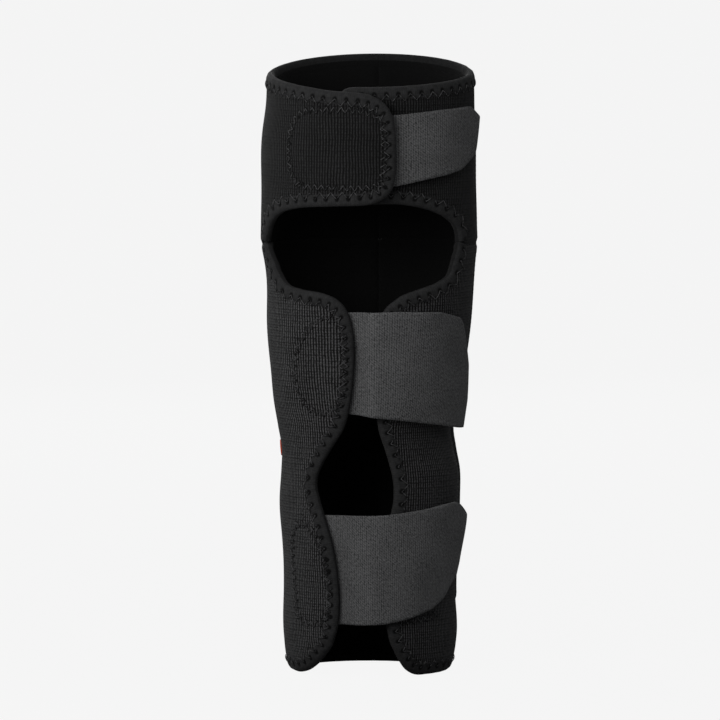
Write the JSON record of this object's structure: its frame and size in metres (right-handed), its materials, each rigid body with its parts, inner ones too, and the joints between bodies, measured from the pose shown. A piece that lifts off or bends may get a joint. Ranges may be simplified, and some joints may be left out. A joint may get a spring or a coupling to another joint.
{
  "type": "wrist splint",
  "caption": "Padded knit wrist splint with thumb opening, overlapping flaps, hook-and-loop straps and a removable flat palm stay.",
  "frame": {"origin": "on the ground, below the middle of the splint's box, standing on its forearm hem", "axes": "+Z from the forearm hem to the hand rim, -Y the closure side with flaps and straps, +Y the palm side with the stay pocket"},
  "size_m": [0.0808, 0.0696, 0.2222],
  "materials": {
    "knit": "ribbed knit over foam",
    "lining": "brushed knit",
    "binding": "folded knit tape, zigzag stitched",
    "strap": "woven elastic loop tape",
    "hook": "moulded hooks",
    "stay_metal": "rolled bar",
    "stay_tip": "dipped",
    "side_stay": "flat spring strip",
    "tab": "woven tape, plain"
  },
  "bodies": {
    "sleeve": {"forearm_panel": "knit", "forearm_lining": "lining", "forearm_binding": "binding", "hand_band": "knit", "hand_lining": "lining", "hand_binding": "binding", "stay_pocket": "knit", "left_side_stay": "side_stay", "right_side_stay": "side_stay", "left_channel": "binding", "right_channel": "binding", "side_tab": "tab"},
    "palm_stay": {"stay_bar": "stay_metal", "stay_top_tip": "stay_tip", "stay_bottom_tip": "stay_tip"},
    "forearm_flap": {"forearm_flap_panel": "knit", "forearm_flap_lining": "lining", "forearm_flap_binding": "binding", "wrist_strap_root": "strap", "forearm_strap_root": "strap"},
    "hand_flap": {"hand_flap_panel": "knit", "hand_flap_lining": "lining", "hand_flap_binding": "binding", "hand_strap_root": "strap"},
    "hand_strap": {"hand_strap": "strap", "hand_strap_hook": "hook"},
    "wrist_strap": {"wrist_strap": "strap", "wrist_strap_hook": "hook"},
    "forearm_strap": {"forearm_strap": "strap", "forearm_strap_hook": "hook"}
  },
  "joints": [
    {"name": "hand_flap_open", "type": "hinge", "parent": "sleeve", "child": "hand_flap", "pos_m": [-0.0373, -0.01004, 0.186], "axis": [0, 0, -1], "range_deg": [0, 110]},
    {"name": "forearm_flap_open", "type": "hinge", "parent": "sleeve", "child": "forearm_flap", "pos_m": [-0.0296, -0.01004, 0.011], "axis": [0.0467, 0, -0.9989], "range_deg": [0, 100]},
    {"name": "hand_strap_peel", "type": "hinge", "parent": "hand_flap", "child": "hand_strap", "pos_m": [0.01462, -0.02797, 0.1785], "axis": [0, -0.0143, -0.9999], "range_deg": [0, 95]},
    {"name": "wrist_strap_peel", "type": "hinge", "parent": "forearm_flap", "child": "wrist_strap", "pos_m": [0.00629, -0.0253, 0.0935], "axis": [0, 0.0717, -0.9974], "range_deg": [0, 95]},
    {"name": "forearm_strap_peel", "type": "hinge", "parent": "forearm_flap", "child": "forearm_strap", "pos_m": [0.00825, -0.02601, 0.019], "axis": [0, -0.0139, -0.9999], "range_deg": [0, 95]},
    {"name": "palm_stay_slide", "type": "slide", "parent": "sleeve", "child": "palm_stay", "axis": [0, 0, 1], "range_m": [0, 0.19]}
  ]
}
